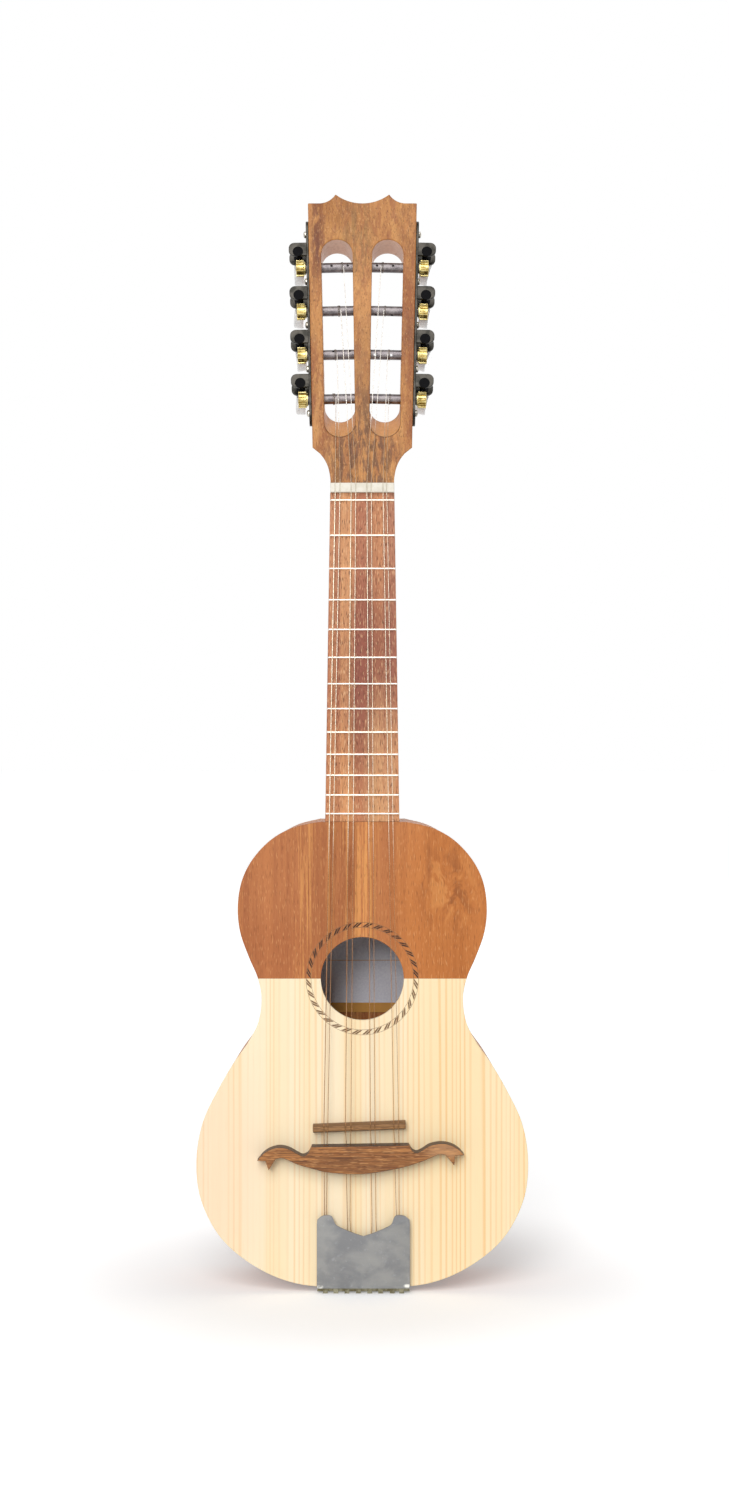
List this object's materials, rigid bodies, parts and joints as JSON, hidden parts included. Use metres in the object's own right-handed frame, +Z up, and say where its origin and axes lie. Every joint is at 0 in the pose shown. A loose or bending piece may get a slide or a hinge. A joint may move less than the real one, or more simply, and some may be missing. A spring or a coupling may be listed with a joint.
{
  "type": "cavaquinho",
  "caption": "Small flat-backed guitar with double courses, slotted head with geared tuners, floating bridge and metal tailpiece.",
  "frame": {"origin": "middle of the bounding box's bottom, under the tailpiece's hooks that it stands on", "axes": "+Z up along the neck, -Y the side with the strings, +X to the right seen from that side"},
  "size_m": [0.1798, 0.0775, 0.6061],
  "materials": {
    "spruce": "satin varnish over straight fine grain",
    "mahogany": "satin varnish over porous straight grain",
    "rosette": "slanted dark and pale pieces let in, varnished",
    "inner_wood": "bare planed wood",
    "paper": "plain printed paper without words",
    "neck_wood": "satin varnish over streaked grain",
    "board_wood": "oiled, with darker streaks",
    "bone": "polished white",
    "fret_wire": "polished",
    "string_steel": "plain and wound wire",
    "bridge_wood": "oiled, straight grain",
    "moustache_wood": "oiled, straight grain, dark edge",
    "tail_steel": "plated sheet, dull and blotchy",
    "plate_steel": "dark nickel plate",
    "post_steel": "bright turned steel",
    "brass": "bright cut brass",
    "pearl": "pearly white"
  },
  "bodies": {
    "instrument": {"soundboard": "spruce", "soundboard_upper": "mahogany", "back_plate": "mahogany", "rib_left": "mahogany", "rib_right": "mahogany", "rosette_ring": "rosette", "top_lining": "inner_wood", "back_lining": "inner_wood", "tail_block": "inner_wood", "top_brace_upper": "inner_wood", "top_brace_lower": "inner_wood", "back_brace_upper": "inner_wood", "back_brace_lower": "inner_wood", "paper_label": "paper", "neck": "neck_wood", "fingerboard": "board_wood", "nut": "bone", "fret_zero": "fret_wire", "fret_1": "fret_wire", "fret_2": "fret_wire", "fret_3": "fret_wire", "fret_4": "fret_wire", "fret_5": "fret_wire", "fret_6": "fret_wire", "fret_7": "fret_wire", "fret_8": "fret_wire", "fret_9": "fret_wire", "fret_10": "fret_wire", "fret_11": "fret_wire", "fret_12": "fret_wire", "moustache_bridge": "moustache_wood", "tailpiece_cover": "tail_steel", "tailpiece_hook_plate": "tail_steel", "string_1": "string_steel", "string_2": "string_steel", "string_3": "string_steel", "string_4": "string_steel", "string_5": "string_steel", "string_6": "string_steel", "string_7": "string_steel", "string_8": "string_steel", "tuner_plate_left": "plate_steel", "tuner_plate_right": "plate_steel"},
    "key_left_1": {"tuner_key_left_1": "pearl"},
    "post_left_1": {"tuner_post_left_1": "post_steel"},
    "key_left_2": {"tuner_key_left_2": "pearl"},
    "post_left_2": {"tuner_post_left_2": "post_steel"},
    "key_left_3": {"tuner_key_left_3": "pearl"},
    "post_left_3": {"tuner_post_left_3": "post_steel"},
    "key_left_4": {"tuner_key_left_4": "pearl"},
    "post_left_4": {"tuner_post_left_4": "post_steel"},
    "key_right_1": {"tuner_key_right_1": "pearl"},
    "post_right_1": {"tuner_post_right_1": "post_steel"},
    "key_right_2": {"tuner_key_right_2": "pearl"},
    "post_right_2": {"tuner_post_right_2": "post_steel"},
    "key_right_3": {"tuner_key_right_3": "pearl"},
    "post_right_3": {"tuner_post_right_3": "post_steel"},
    "key_right_4": {"tuner_key_right_4": "pearl"},
    "post_right_4": {"tuner_post_right_4": "post_steel"},
    "bridge": {"floating_bridge": "bridge_wood"}
  },
  "joints": [
    {"name": "key_left_1_turn", "type": "hinge", "parent": "instrument", "child": "key_left_1", "pos_m": [-0.03599, 0.00329, 0.57262], "axis": [0, 0.9744, -0.225], "continuous": true},
    {"name": "post_left_1_turn", "type": "hinge", "parent": "instrument", "child": "post_left_1", "pos_m": [-0.02972, 0.00867, 0.56393], "axis": [-0.9997, -0.0052, -0.0227], "continuous": true},
    {"name": "key_left_2_turn", "type": "hinge", "parent": "instrument", "child": "key_left_2", "pos_m": [-0.03538, -0.00258, 0.54719], "axis": [0, 0.9744, -0.225], "continuous": true},
    {"name": "post_left_2_turn", "type": "hinge", "parent": "instrument", "child": "post_left_2", "pos_m": [-0.02911, 0.0028, 0.5385], "axis": [-0.9997, -0.0052, -0.0227], "continuous": true},
    {"name": "key_left_3_turn", "type": "hinge", "parent": "instrument", "child": "key_left_3", "pos_m": [-0.03477, -0.00845, 0.52177], "axis": [0, 0.9744, -0.225], "continuous": true},
    {"name": "post_left_3_turn", "type": "hinge", "parent": "instrument", "child": "post_left_3", "pos_m": [-0.0285, -0.00307, 0.51308], "axis": [-0.9997, -0.0052, -0.0227], "continuous": true},
    {"name": "key_left_4_turn", "type": "hinge", "parent": "instrument", "child": "key_left_4", "pos_m": [-0.03417, -0.01432, 0.49634], "axis": [0, 0.9744, -0.225], "continuous": true},
    {"name": "post_left_4_turn", "type": "hinge", "parent": "instrument", "child": "post_left_4", "pos_m": [-0.0279, -0.00894, 0.48766], "axis": [-0.9997, -0.0052, -0.0227], "continuous": true},
    {"name": "key_right_1_turn", "type": "hinge", "parent": "instrument", "child": "key_right_1", "pos_m": [0.03599, 0.00329, 0.57262], "axis": [0, 0.9744, -0.225], "continuous": true},
    {"name": "post_right_1_turn", "type": "hinge", "parent": "instrument", "child": "post_right_1", "pos_m": [0.02972, 0.00867, 0.56393], "axis": [0.9997, -0.0052, -0.0227], "continuous": true},
    {"name": "key_right_2_turn", "type": "hinge", "parent": "instrument", "child": "key_right_2", "pos_m": [0.03538, -0.00258, 0.54719], "axis": [0, 0.9744, -0.225], "continuous": true},
    {"name": "post_right_2_turn", "type": "hinge", "parent": "instrument", "child": "post_right_2", "pos_m": [0.02911, 0.0028, 0.5385], "axis": [0.9997, -0.0052, -0.0227], "continuous": true},
    {"name": "key_right_3_turn", "type": "hinge", "parent": "instrument", "child": "key_right_3", "pos_m": [0.03477, -0.00845, 0.52177], "axis": [0, 0.9744, -0.225], "continuous": true},
    {"name": "post_right_3_turn", "type": "hinge", "parent": "instrument", "child": "post_right_3", "pos_m": [0.0285, -0.00307, 0.51308], "axis": [0.9997, -0.0052, -0.0227], "continuous": true},
    {"name": "key_right_4_turn", "type": "hinge", "parent": "instrument", "child": "key_right_4", "pos_m": [0.03417, -0.01432, 0.49634], "axis": [0, 0.9744, -0.225], "continuous": true},
    {"name": "post_right_4_turn", "type": "hinge", "parent": "instrument", "child": "post_right_4", "pos_m": [0.0279, -0.00894, 0.48766], "axis": [0.9997, -0.0052, -0.0227], "continuous": true},
    {"name": "bridge_slide", "type": "slide", "parent": "instrument", "child": "bridge", "axis": [0, 0, 1], "range_m": [-0.002, 0.002]}
  ],
  "couplings": [
    {"joint": "post_left_1_turn", "follows": "key_left_1_turn", "ratio": -0.071429},
    {"joint": "post_left_2_turn", "follows": "key_left_2_turn", "ratio": -0.071429},
    {"joint": "post_left_3_turn", "follows": "key_left_3_turn", "ratio": -0.071429},
    {"joint": "post_left_4_turn", "follows": "key_left_4_turn", "ratio": -0.071429},
    {"joint": "post_right_1_turn", "follows": "key_right_1_turn", "ratio": 0.071429},
    {"joint": "post_right_2_turn", "follows": "key_right_2_turn", "ratio": 0.071429},
    {"joint": "post_right_3_turn", "follows": "key_right_3_turn", "ratio": 0.071429},
    {"joint": "post_right_4_turn", "follows": "key_right_4_turn", "ratio": 0.071429}
  ]
}
